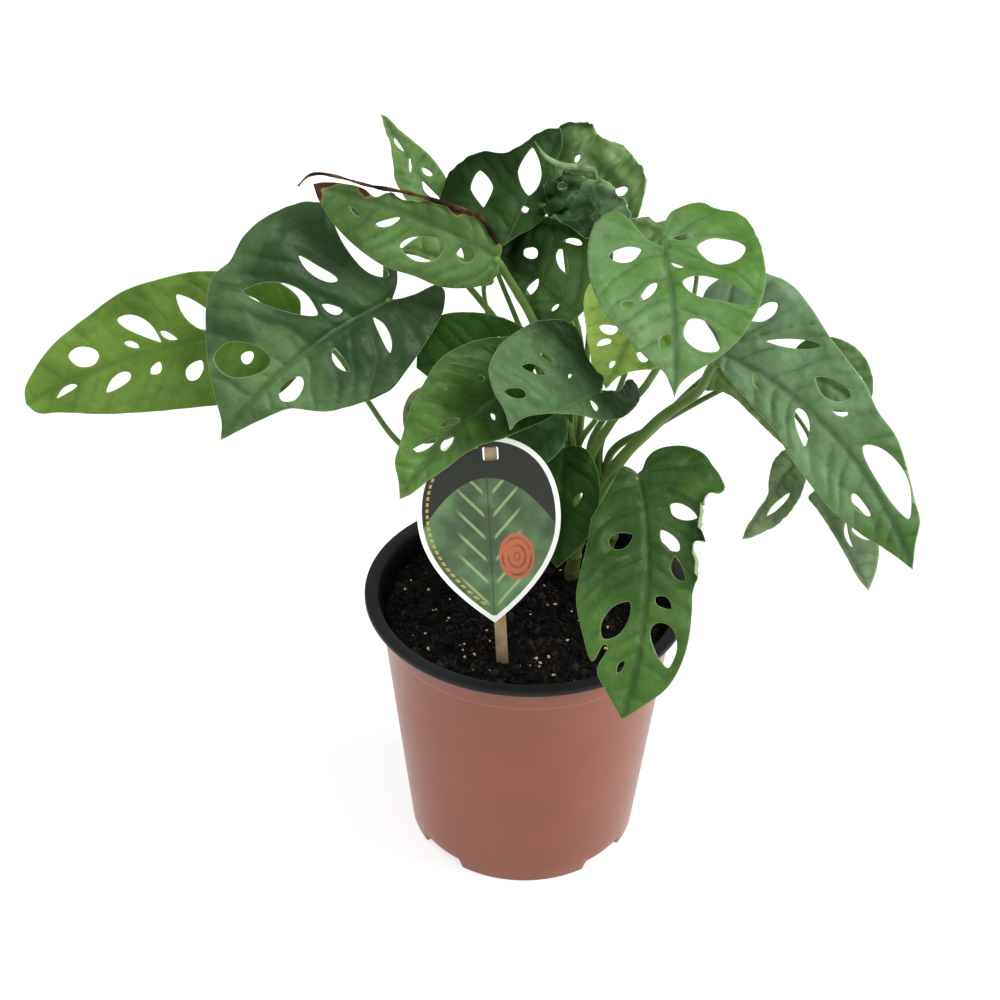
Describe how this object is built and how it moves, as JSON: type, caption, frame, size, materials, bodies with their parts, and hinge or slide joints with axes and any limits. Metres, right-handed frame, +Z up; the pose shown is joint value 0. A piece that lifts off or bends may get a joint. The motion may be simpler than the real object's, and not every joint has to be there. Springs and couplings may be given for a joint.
{
  "type": "potted monstera plant",
  "caption": "Holed-leaf monstera in a round terracotta-coloured nursery pot with a black rim, with dark soil, a wooden stick and a pointed oval plant card.",
  "frame": {"origin": "centre of the pot's base, on the floor", "axes": "+Z up, +X to the right seen from the front, -Y towards the front, where the card faces"},
  "size_m": [0.4436, 0.2545, 0.3583],
  "materials": {
    "pot": "satin",
    "soil": "rough",
    "card": "satin print",
    "stick": "raw",
    "stem": "satin",
    "leaf_light": "waxy",
    "leaf_mid": "waxy",
    "leaf_bluish": "waxy",
    "leaf_dark": "waxy",
    "leaf_young": "waxy",
    "dried": "dry"
  },
  "bodies": {
    "root": {"pot": "pot", "soil": "soil", "label_card": "card", "label_stick": "stick", "vine_left": "stem", "vine_back": "stem", "vine_right": "stem", "vine_front": "stem", "leaf_far_left": "leaf_light", "leaf_left": "leaf_bluish", "leaf_upper_left": "leaf_mid", "leaf_top": "leaf_light", "leaf_back_left": "leaf_dark", "leaf_back_right": "leaf_mid", "leaf_crumpled": "leaf_bluish", "leaf_centre_back": "leaf_dark", "leaf_right": "leaf_mid", "leaf_yellow_green": "leaf_light", "leaf_inner_left": "leaf_light", "leaf_inner_right": "leaf_mid", "leaf_front_left": "leaf_dark", "leaf_centre": "leaf_bluish", "leaf_shade_left": "leaf_dark", "leaf_far_right": "leaf_bluish", "leaf_right_back": "leaf_mid", "leaf_low_narrow": "leaf_mid", "leaf_low_right": "leaf_mid", "leaf_low_back": "leaf_mid", "leaf_front": "leaf_mid", "leaf_shade_front": "leaf_dark", "leaf_shade_centre": "leaf_bluish", "leaf_shade_small": "leaf_dark", "young_leaf": "leaf_young", "dried_edge": "dried"}
  },
  "joints": []
}
